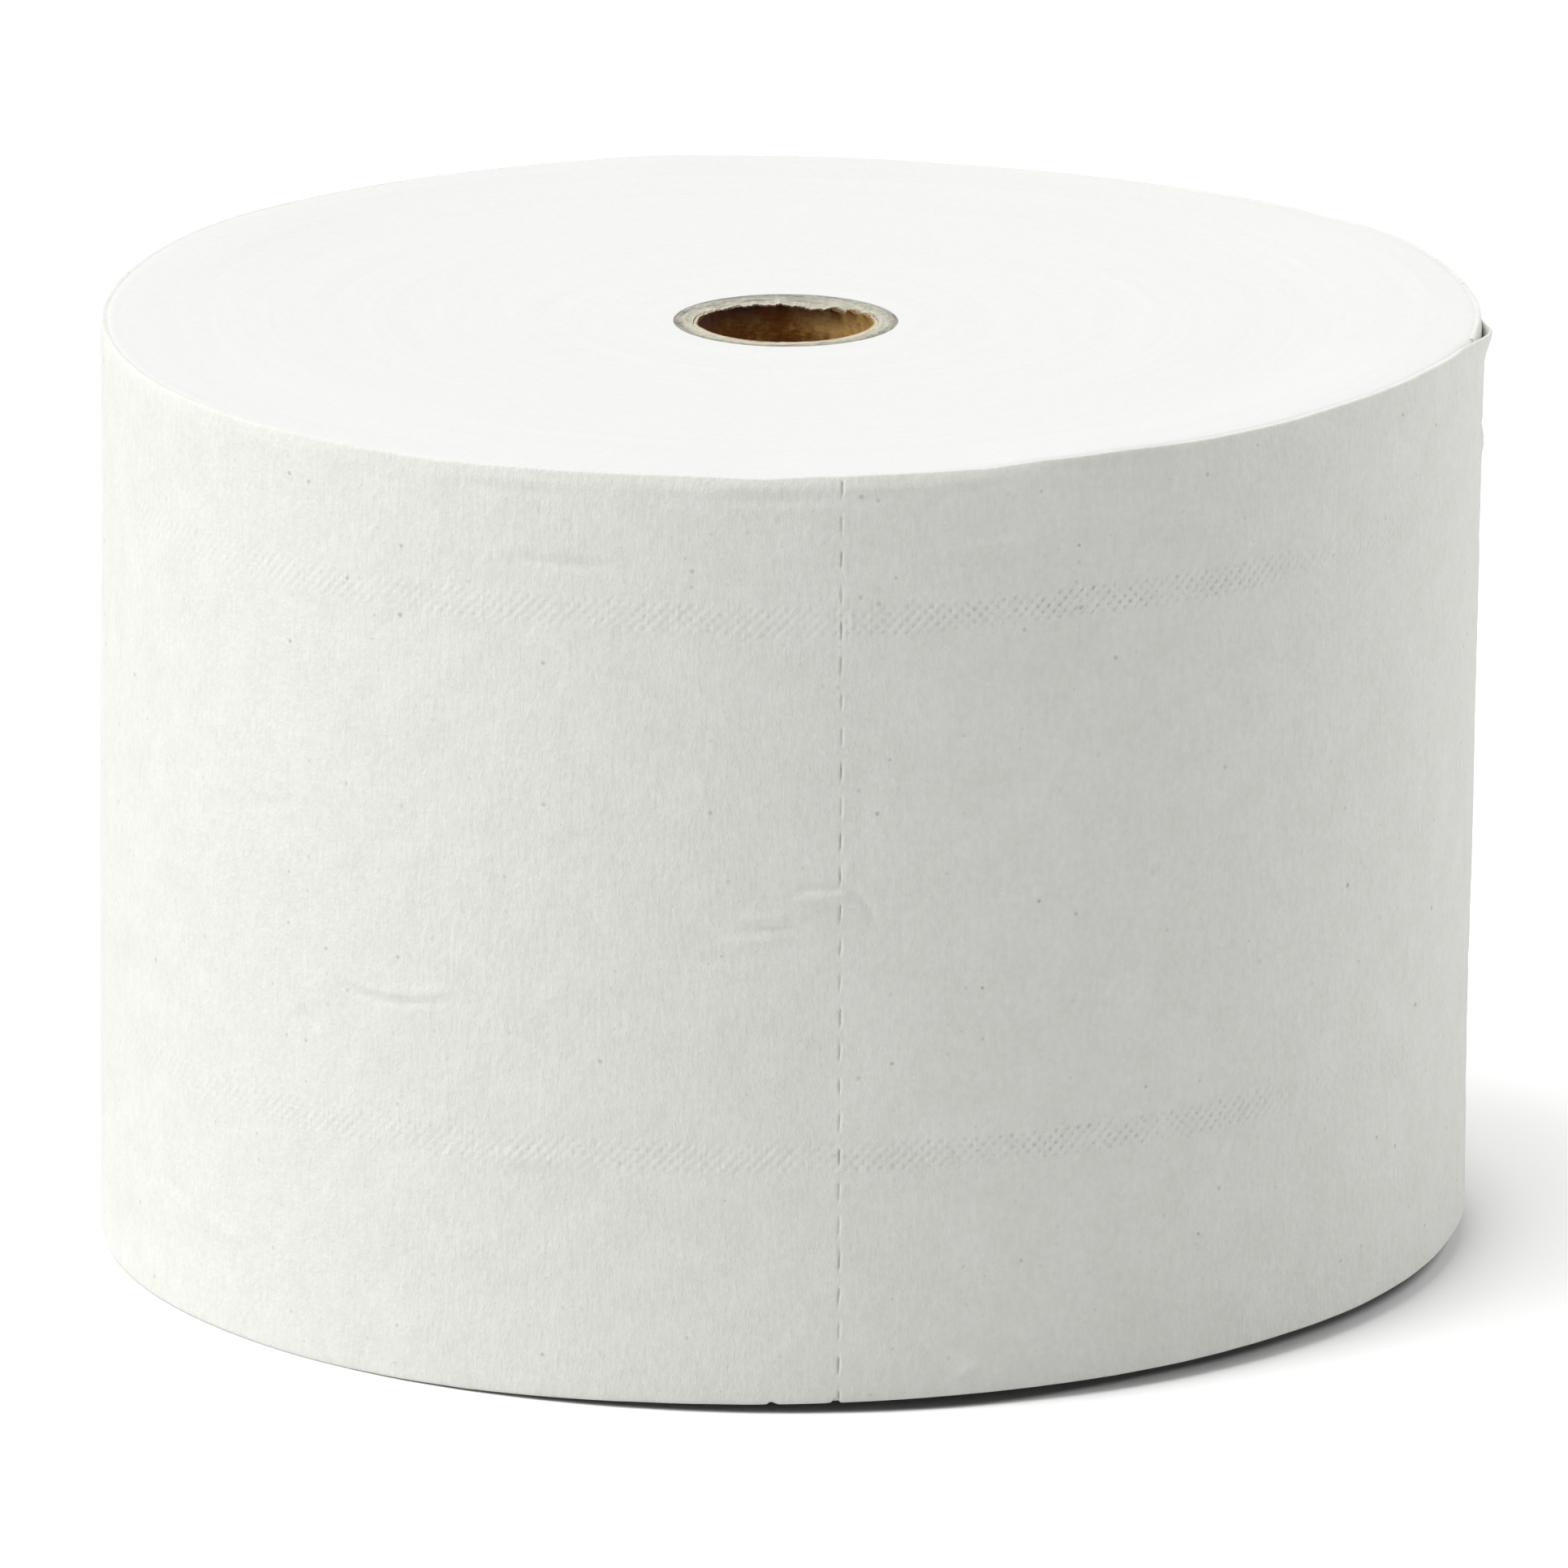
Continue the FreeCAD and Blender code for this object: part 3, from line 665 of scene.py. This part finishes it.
def tissue(name, light, dark):
    """Creped recycled tissue, dry-creped off a steel cylinder: fine ridges across the web, which
    run up the roll here, a cloudy formation of fibre, and a few dark flecks of recycled print."""
    material, tree, shader = new_material(name)
    crepe_width, crepe_length, fibre_width, fibre_length = 0.42 * MM, 2.0 * MM, 0.7 * MM, 0.8 * MM
    cloud, fleck_cell = 5 * MM, 1.75 * MM

    crepe = add_node(tree, "ShaderNodeTexNoise", (), {
        "Vector": in_cells(tree, crepe_width, crepe_length),
        "Scale": 1.0, "Detail": 3.0, "Roughness": 0.6})
    fibre = add_node(tree, "ShaderNodeTexNoise", (), {
        "Vector": in_cells(tree, fibre_width, fibre_length),
        "Scale": 1.0, "Detail": 4.0, "Roughness": 0.7})
    clouds = add_node(tree, "ShaderNodeTexNoise", (), {
        "Vector": in_cells(tree, cloud, cloud), "Scale": 1.0, "Detail": 5.0, "Roughness": 0.62})
    mixed = add_node(tree, "ShaderNodeMath", {"operation": "MULTIPLY_ADD"}, {
        0: crepe.outputs["Fac"], 1: 0.5, 2: fibre.outputs["Fac"]})
    all_in = add_node(tree, "ShaderNodeMath", {"operation": "MULTIPLY_ADD"}, {
        0: clouds.outputs["Fac"], 1: 0.7, 2: mixed.outputs[0]})
    tone = add_node(tree, "ShaderNodeMapRange", (), {
        "Value": all_in.outputs[0], "From Min": 0.8, "From Max": 1.4})
    paper = add_node(tree, "ShaderNodeMix", {"data_type": "RGBA"}, {
        "Factor": tone.outputs[0], COLOUR_A: linear(dark), COLOUR_B: linear(light)})

    bent = add_node(tree, "ShaderNodeVectorMath", {"operation": "MULTIPLY_ADD"}, {
        0: fibre.outputs["Color"], 1: (0.14, 0.14, 0.14),
        2: in_cells(tree, fleck_cell, fleck_cell)})
    spots = add_node(tree, "ShaderNodeTexVoronoi", {"feature": "F1"}, {
        "Vector": bent.outputs[0], "Scale": 1.0})
    pick = add_node(tree, "ShaderNodeSeparateColor", (), {0: spots.outputs["Color"]})
    size = add_node(tree, "ShaderNodeMapRange", (), {
        "Value": pick.outputs[0], "From Min": 0.2, "From Max": 1.0, "To Min": 0.0, "To Max": 0.14})
    inside = add_node(tree, "ShaderNodeMath", {"operation": "SUBTRACT"}, {
        0: size.outputs[0], 1: spots.outputs["Distance"]})
    rare = add_node(tree, "ShaderNodeMath", {"operation": "POWER"}, {0: pick.outputs[1], 1: 4.0})
    strength = add_node(tree, "ShaderNodeMath", {"operation": "MULTIPLY_ADD"}, {
        0: rare.outputs[0], 1: 0.4, 2: 0.08})
    fleck = add_node(tree, "ShaderNodeMapRange", (), {
        "Value": inside.outputs[0], "From Min": -0.05, "From Max": 0.05})
    amount = add_node(tree, "ShaderNodeMath", {"operation": "MULTIPLY"}, {
        0: fleck.outputs[0], 1: strength.outputs[0]})
    coloured = add_node(tree, "ShaderNodeMix", {"data_type": "RGBA"}, {
        "Factor": amount.outputs[0], COLOUR_A: paper.outputs[COLOUR_OUT], COLOUR_B: linear("#77736A")})

    bump = add_node(tree, "ShaderNodeBump", (), {
        "Height": mixed.outputs[0], "Strength": 0.9, "Distance": 0.13 * MM})
    rough = add_node(tree, "ShaderNodeMapRange", (), {
        "Value": fibre.outputs["Fac"], "To Min": 0.86, "To Max": 0.98})

    tree.links.new(coloured.outputs[COLOUR_OUT], shader.inputs["Base Color"])
    tree.links.new(rough.outputs[0], shader.inputs["Roughness"])
    tree.links.new(bump.outputs[0], shader.inputs["Normal"])
    shader.inputs["IOR"].default_value = 1.47
    shader.inputs["Specular IOR Level"].default_value = 0.25
    shader.inputs["Sheen Weight"].default_value = 0.08
    return material


def from_core_axis(tree):
    """Object coordinates, and then, measured from the core's axis, their x, y and z, the part of
    them across the axis, and the distance from it."""
    place = add_node(tree, "ShaderNodeTexCoord").outputs["Object"]
    centred = add_node(tree, "ShaderNodeVectorMath", {"operation": "ADD"}, {
        0: place, 1: (-CORE_ASIDE * MM, 0, 0)})
    split = add_node(tree, "ShaderNodeSeparateXYZ", (), {0: centred.outputs[0]})
    flat = add_node(tree, "ShaderNodeCombineXYZ", (), {0: split.outputs[0], 1: split.outputs[1]})
    radius = add_node(tree, "ShaderNodeVectorMath", {"operation": "LENGTH"}, {0: flat.outputs[0]})
    return place, split, flat.outputs[0], radius.outputs["Value"]


def wound_place(tree, flat, radius, drift):
    """A place that changes with the radius, and a little, by drift, with the way round, for layers
    that are wound on the core."""
    outward = add_node(tree, "ShaderNodeCombineXYZ", (), {0: radius})
    slow = add_node(tree, "ShaderNodeVectorMath", {"operation": "SCALE"}, {0: flat, "Scale": drift})
    place = add_node(tree, "ShaderNodeVectorMath", {"operation": "ADD"}, {
        0: outward.outputs[0], 1: slow.outputs[0]})
    return place.outputs[0]


def wound_edges():
    """Saw-cut ends of the wound tissue: the edges of several hundred turns, drawn as rings wider
    than the real 0.25 mm so that they show, soft and nearly white."""
    material, tree, shader = new_material("log_sawn_tissue_ends")
    place, _, flat, radius = from_core_axis(tree)
    rings = add_node(tree, "ShaderNodeTexNoise", (), {
        "Vector": wound_place(tree, flat, radius, 0.02),
        "Scale": 1 / (0.7 * MM), "Detail": 4.0, "Roughness": 0.65})
    grain = add_node(tree, "ShaderNodeTexNoise", (), {
        "Vector": place, "Scale": 1 / (0.6 * MM), "Detail": 3.0, "Roughness": 0.7})
    mixed = add_node(tree, "ShaderNodeMath", {"operation": "MULTIPLY_ADD"}, {
        0: rings.outputs["Fac"], 1: 0.6, 2: grain.outputs["Fac"]})
    tone = add_node(tree, "ShaderNodeMapRange", (), {
        "Value": mixed.outputs[0], "From Min": 0.5, "From Max": 1.1})
    paper = add_node(tree, "ShaderNodeMix", {"data_type": "RGBA"}, {
        "Factor": tone.outputs[0], COLOUR_A: linear("#E8E8E6"), COLOUR_B: linear("#EEEEED")})
    bump = add_node(tree, "ShaderNodeBump", (), {
        "Height": mixed.outputs[0], "Strength": 0.4, "Distance": 0.07 * MM})
    tree.links.new(paper.outputs[COLOUR_OUT], shader.inputs["Base Color"])
    tree.links.new(bump.outputs[0], shader.inputs["Normal"])
    shader.inputs["Roughness"].default_value = 0.95
    shader.inputs["IOR"].default_value = 1.47
    shader.inputs["Specular IOR Level"].default_value = 0.2
    return material


def grey_board():
    """Cut end of chipboard tube: waste-paper plies, grey at the outside and creamier inward, with
    thin dark lines where plies part."""
    material, tree, shader = new_material("grey_chipboard")
    place, _, flat, radius = from_core_axis(tree)
    plies = add_node(tree, "ShaderNodeTexNoise", (), {
        "Vector": wound_place(tree, flat, radius, 0.12),
        "Scale": 1 / (0.45 * MM), "Detail": 4.0, "Roughness": 0.6})
    pulp = add_node(tree, "ShaderNodeTexNoise", (), {
        "Vector": place, "Scale": 1 / (0.7 * MM), "Detail": 4.0, "Roughness": 0.7})
    outward = add_node(tree, "ShaderNodeMapRange", (), {
        "Value": radius, "From Min": LINER_RADIUS * MM, "From Max": BOARD_RADIUS * MM,
        "To Min": 0.0, "To Max": 0.34})
    mixed = add_node(tree, "ShaderNodeMath", {"operation": "MULTIPLY_ADD"}, {
        0: plies.outputs["Fac"], 1: 0.7, 2: outward.outputs[0]})
    all_in = add_node(tree, "ShaderNodeMath", {"operation": "MULTIPLY_ADD"}, {
        0: pulp.outputs["Fac"], 1: 0.55, 2: mixed.outputs[0]})
    ramp = add_node(tree, "ShaderNodeValToRGB", (), {0: all_in.outputs[0]})
    stops = ramp.color_ramp.elements
    stops[0].position, stops[0].color = 0.45, linear("#E4DDCA")
    stops[1].position, stops[1].color = 1.0, linear("#84857A")
    middle = stops.new(0.78)
    middle.color = linear("#BFBDAE")
    bump = add_node(tree, "ShaderNodeBump", (), {
        "Height": all_in.outputs[0], "Strength": 0.6, "Distance": 0.12 * MM})
    tree.links.new(ramp.outputs[0], shader.inputs["Base Color"])
    tree.links.new(bump.outputs[0], shader.inputs["Normal"])
    shader.inputs["Roughness"].default_value = 0.92
    shader.inputs["Specular IOR Level"].default_value = 0.25
    return material


def kraft_paper():
    """Unbleached kraft paper glued inside the tube: warm brown, with fibres that run round the hole.
    Painted shade darkens it near its end and where it leans in, painted light makes it paler to
    the right, and it is pale where the saw cut it, with painted light making the cut paler behind."""
    material, tree, shader = new_material("unbleached_kraft_paper")
    patches = add_node(tree, "ShaderNodeTexNoise", (), {
        "Vector": in_cells(tree, 3.2 * MM, 4.5 * MM),
        "Scale": 1.0, "Detail": 6.0, "Roughness": 0.65})
    fibres = add_node(tree, "ShaderNodeTexNoise", (), {
        "Vector": in_cells(tree, 0.9 * MM, 0.3 * MM),
        "Scale": 1.0, "Detail": 4.0, "Roughness": 0.7})
    mixed = add_node(tree, "ShaderNodeMath", {"operation": "MULTIPLY_ADD"}, {
        0: fibres.outputs["Fac"], 1: 0.4, 2: patches.outputs["Fac"]})
    _, split, _, radius = from_core_axis(tree)
    # Painted light: the tone is paler towards +X, on the wall of the hole that the light falls on.
    painted_light_right = add_node(tree, "ShaderNodeMapRange", (), {
        "Value": split.outputs[0], "From Min": 2 * MM, "From Max": 8 * MM, "To Max": 0.3})
    tone_with_painted_light = add_node(tree, "ShaderNodeMath", {"operation": "ADD"}, {
        0: mixed.outputs[0], 1: painted_light_right.outputs[0]})
    ramp = add_node(tree, "ShaderNodeValToRGB", (), {0: tone_with_painted_light.outputs[0]})
    stops = ramp.color_ramp.elements
    stops[0].position, stops[0].color = 0.45, linear("#4C280B")
    stops[1].position, stops[1].color = 0.95, linear("#CFA964")
    middle = stops.new(0.7)
    middle.color = linear("#84531B")

    # Painted shade in the colour #351004: near the upper end, with an uneven reach and less of it to the
    # right, and where the paper leans into the hole.
    top = WEB_WIDTH - DISH
    shade_height = add_node(tree, "ShaderNodeMath", {"operation": "MULTIPLY_ADD"}, {
        0: patches.outputs["Fac"], 1: 3.5 * MM, 2: split.outputs[2]})
    painted_shade_near_top = add_node(tree, "ShaderNodeMapRange", (), {
        "Value": shade_height.outputs[0], "From Min": (top - 0.9) * MM, "From Max": (top + 1.3) * MM,
        "To Max": 0.95})
    spared = add_node(tree, "ShaderNodeMapRange", (), {
        "Value": split.outputs[0], "From Min": 3.5 * MM, "From Max": 7 * MM,
        "To Min": 1.0, "To Max": 0.45})
    inward = add_node(tree, "ShaderNodeMapRange", (), {
        "Value": radius, "From Min": (BORE_RADIUS - 0.1) * MM, "From Max": (BORE_RADIUS - 0.45) * MM,
        "To Max": 0.8})
    mostly = add_node(tree, "ShaderNodeMath", {"operation": "MULTIPLY"}, {
        0: painted_shade_near_top.outputs[0], 1: spared.outputs[0]})
    painted_shade = add_node(tree, "ShaderNodeMath", {"operation": "MAXIMUM"}, {
        0: mostly.outputs[0], 1: inward.outputs[0]})
    painted_shade_colour = add_node(tree, "ShaderNodeMix", {"data_type": "RGBA"}, {
        "Factor": painted_shade.outputs[0], COLOUR_A: ramp.outputs[0], COLOUR_B: linear("#351004")})

    # Pale at the cut end near the top of the paper, and weaker at the front than behind, where it is painted
    # light against the shade inside the hole.
    sawn = add_node(tree, "ShaderNodeMapRange", (), {
        "Value": radius, "From Min": (BORE_RADIUS + 0.12) * MM, "From Max": (BORE_RADIUS + 0.3) * MM})
    whole = add_node(tree, "ShaderNodeMapRange", (), {
        "Value": split.outputs[2], "From Min": (top - 0.5) * MM, "From Max": (top - 0.3) * MM})
    behind = add_node(tree, "ShaderNodeMapRange", (), {
        "Value": split.outputs[1], "From Min": -9 * MM, "From Max": -6.5 * MM,
        "To Min": 0.3, "To Max": 1.0})
    cut = add_node(tree, "ShaderNodeMath", {"operation": "MULTIPLY"}, {
        0: sawn.outputs[0], 1: whole.outputs[0]})
    pale = add_node(tree, "ShaderNodeMath", {"operation": "MULTIPLY"}, {
        0: cut.outputs[0], 1: behind.outputs[0]})
    coloured = add_node(tree, "ShaderNodeMix", {"data_type": "RGBA"}, {
        "Factor": pale.outputs[0], COLOUR_A: painted_shade_colour.outputs[COLOUR_OUT], COLOUR_B: linear("#D4CBB2")})
    bump = add_node(tree, "ShaderNodeBump", (), {
        "Height": mixed.outputs[0], "Strength": 0.6, "Distance": 0.15 * MM})
    tree.links.new(coloured.outputs[COLOUR_OUT], shader.inputs["Base Color"])
    tree.links.new(bump.outputs[0], shader.inputs["Normal"])
    shader.inputs["Roughness"].default_value = 0.8
    shader.inputs["Specular IOR Level"].default_value = 0.3
    return material


def make_floor():
    """A plain pale floor. To the camera and in reflections it is brighter than it is as a source
    of bounced light, so that it shows white where it is fully lit, and keeps the roll's shadow.
    Under the roll a painted contact shadow makes it dark, and the painted shadow reaches less far
    out at the right, where the foot is raised. There a little painted shade lies beside the roll too."""
    reach = 4.0
    corners = [(-reach, -reach, 0), (reach, -reach, 0), (reach, reach, 0), (-reach, reach, 0)]
    mesh = bpy.data.meshes.new("floor")
    mesh.from_pydata(corners, [], [(0, 1, 2, 3)])
    material = bpy.data.materials.new("white_sweep")
    tree = empty_tree(material)
    ray = add_node(tree, "ShaderNodeLightPath")
    seen = add_node(tree, "ShaderNodeMath", {"operation": "MAXIMUM"}, {
        0: ray.outputs["Is Camera Ray"], 1: ray.outputs["Is Glossy Ray"]})
    place = add_node(tree, "ShaderNodeTexCoord").outputs["Object"]
    centred = add_node(tree, "ShaderNodeVectorMath", {"operation": "ADD"}, {0: place, 1: (0.35 * MM, 0, 0)})
    distance = add_node(tree, "ShaderNodeVectorMath", {"operation": "LENGTH"}, {0: centred.outputs[0]})
    bounce = add_node(tree, "ShaderNodeMapRange", (), {
        "Value": distance.outputs["Value"], "From Min": 0.1, "From Max": 0.4,
        "To Min": FLOOR_NEAR, "To Max": FLOOR_FAR})
    split = add_node(tree, "ShaderNodeSeparateXYZ", (), {0: place})
    # How far out the painted contact shadow under the roll reaches: less far at the right, where the foot is
    # raised.
    to_right = add_node(tree, "ShaderNodeMapRange", {"interpolation_type": "SMOOTHSTEP"}, {
        "Value": split.outputs[0], "From Min": 14 * MM, "From Max": 38 * MM})
    far_right = add_node(tree, "ShaderNodeMapRange", (), {
        "Value": split.outputs[0], "From Min": 50 * MM, "From Max": 66 * MM, "To Max": 0.5})
    inset = add_node(tree, "ShaderNodeMath", {"operation": "SUBTRACT"}, {
        0: to_right.outputs[0], 1: far_right.outputs[0]})
    edge = add_node(tree, "ShaderNodeMath", {"operation": "MULTIPLY_ADD"}, {
        0: inset.outputs[0], 1: 2.4 * MM, 2: distance.outputs["Value"]})
    # Painted contact shadow: the seen floor is dark under the roll and white beyond it.
    ground = add_node(tree, "ShaderNodeMapRange", {"interpolation_type": "SMOOTHSTEP"}, {
        "Value": edge.outputs[0], "From Min": (TAIL_RADIUS - 1.4) * MM, "From Max": (TAIL_RADIUS + 0.3) * MM,
        "To Min": FLOOR_PAINTED_SHADOW, "To Max": FLOOR_SEEN})
    # Painted shade on the floor beside the roll, at the right.
    shade = add_node(tree, "ShaderNodeMapRange", (), {
        "Value": edge.outputs[0], "From Min": TAIL_RADIUS * MM, "From Max": (TAIL_RADIUS + 9) * MM,
        "To Min": 0.12, "To Max": 0.0})
    shaded = add_node(tree, "ShaderNodeMath", {"operation": "MULTIPLY"}, {
        0: shade.outputs[0], 1: to_right.outputs[0]})
    lit = add_node(tree, "ShaderNodeMath", {"operation": "SUBTRACT"}, {0: 1.0, 1: shaded.outputs[0]})
    shown = add_node(tree, "ShaderNodeMath", {"operation": "MULTIPLY"}, {
        0: ground.outputs[0], 1: lit.outputs[0]})
    level = add_node(tree, "ShaderNodeMix", {"data_type": "FLOAT"}, {
        "Factor": seen.outputs[0], VALUE_A: bounce.outputs[0], VALUE_B: shown.outputs[0]})
    colour = add_node(tree, "ShaderNodeCombineColor", (), {
        0: level.outputs[0], 1: level.outputs[0], 2: level.outputs[0]})
    shader = add_node(tree, "ShaderNodeBsdfDiffuse", (), {"Color": colour.outputs[0]})
    add_node(tree, "ShaderNodeOutputMaterial", (), {"Surface": shader.outputs[0]})
    mesh.materials.append(material)
    floor = bpy.data.objects.new("floor", mesh)
    bpy.context.scene.collection.objects.link(floor)


def make_lamp(name, azimuth, elevation, share, spread):
    """A sun lamp. share is the light it gives a surface that faces it, as a part of the light at
    which a colour renders as written. spread is the angle that the lamp fills in the sky."""
    lamp = bpy.data.lights.new(name, "SUN")
    lamp.energy = np.pi * share
    lamp.angle = np.radians(spread)
    light = bpy.data.objects.new(name, lamp)
    side, up = np.radians(azimuth), np.radians(elevation)
    towards = Vector((np.sin(side) * np.cos(up), -np.cos(side) * np.cos(up), np.sin(up)))
    light.rotation_mode = "QUATERNION"
    light.rotation_quaternion = towards.to_track_quat("Z", "Y")
    bpy.context.scene.collection.objects.link(light)


def make_world():
    """A dim even sky, and plain white where the camera sees it."""
    world = bpy.data.worlds.new("studio")
    bpy.context.scene.world = world
    tree = empty_tree(world)
    ray = add_node(tree, "ShaderNodeLightPath")
    seen = add_node(tree, "ShaderNodeMath", {"operation": "MAXIMUM"}, {
        0: ray.outputs["Is Camera Ray"], 1: ray.outputs["Is Transmission Ray"]})
    strength = add_node(tree, "ShaderNodeMapRange", (), {
        "Value": seen.outputs[0], "To Min": SKY, "To Max": 1.0})
    back = add_node(tree, "ShaderNodeBackground", (), {
        "Color": (1, 1, 1, 1), "Strength": strength.outputs[0]})
    add_node(tree, "ShaderNodeOutputWorld", (), {"Surface": back.outputs[0]})


def make_camera():
    """A long lens in front of the roll, a little above it, as the photograph was taken."""
    camera = bpy.data.cameras.new("camera")
    camera.sensor_width = 36
    camera.lens = FOCAL_PIXELS * camera.sensor_width / PHOTO_SIDE
    camera.clip_end = 20
    middle = np.array([0, 0, WEB_WIDTH / 2])
    raised, roll = np.radians(CAMERA_ELEVATION), np.radians(CAMERA_ROLL)
    back = np.array([0, -np.cos(raised), np.sin(raised)])
    right = np.array([1.0, 0, 0])
    up = np.cross(back, right)
    right, up = right * np.cos(roll) + up * np.sin(roll), up * np.cos(roll) - right * np.sin(roll)
    pixel = CAMERA_DISTANCE / FOCAL_PIXELS
    aside = (PHOTO_SIDE / 2 - MIDDLE_AT[0]) * pixel * right + (MIDDLE_AT[1] - PHOTO_SIDE / 2) * pixel * up
    place = (middle + back * CAMERA_DISTANCE + aside) * MM
    body = bpy.data.objects.new("camera", camera)
    turned = Matrix((right, up, back)).transposed()
    body.matrix_world = Matrix.Translation(place) @ turned.to_4x4()
    bpy.context.scene.collection.objects.link(body)
    bpy.context.scene.camera = body


outer_paper = tissue("creped_recycled_tissue", "#F2F3ED", "#E6E7E0")
edges = wound_edges()
turns = stations(0.385, 0.9)
fine_turns = np.unique(np.concatenate([np.arange(TURN_FROM, 360, DOT_PITCH / 6 / ARC), stations(9, 9)]))

make_winding(edges)
make_strip("sheet_foot", *foot_strip(0.42), turns, outer_paper)
make_strip("lower_bond_band", *flat_strip(*LOWER_BAND_SPAN, DOT_ROW_PITCH / 3), fine_turns, outer_paper)
make_strip("sheet_middle_lower", *flat_strip(LOWER_BAND_SPAN[1], MIDDLE_SEAM, 0.37), turns, outer_paper)
make_strip("sheet_middle_upper", *flat_strip(MIDDLE_SEAM, UPPER_BAND_SPAN[0], 0.37), turns, outer_paper)
make_strip("upper_bond_band", *flat_strip(*UPPER_BAND_SPAN, DOT_ROW_PITCH / 3), fine_turns, outer_paper)
make_strip("sheet_rim", *rim_strip(turns, 0.42), turns, outer_paper)
make_core_board(grey_board())
make_core_liner(kraft_paper())

make_floor()
make_world()
make_lamp("left_reflector", -81, 24, 0.57, 70)
make_lamp("overhead", -65, 74, 0.53, 42)
make_lamp("right_reflector", 118, 25, 0.44, 60)
make_camera()
bpy.context.scene.view_settings.view_transform = "Standard"
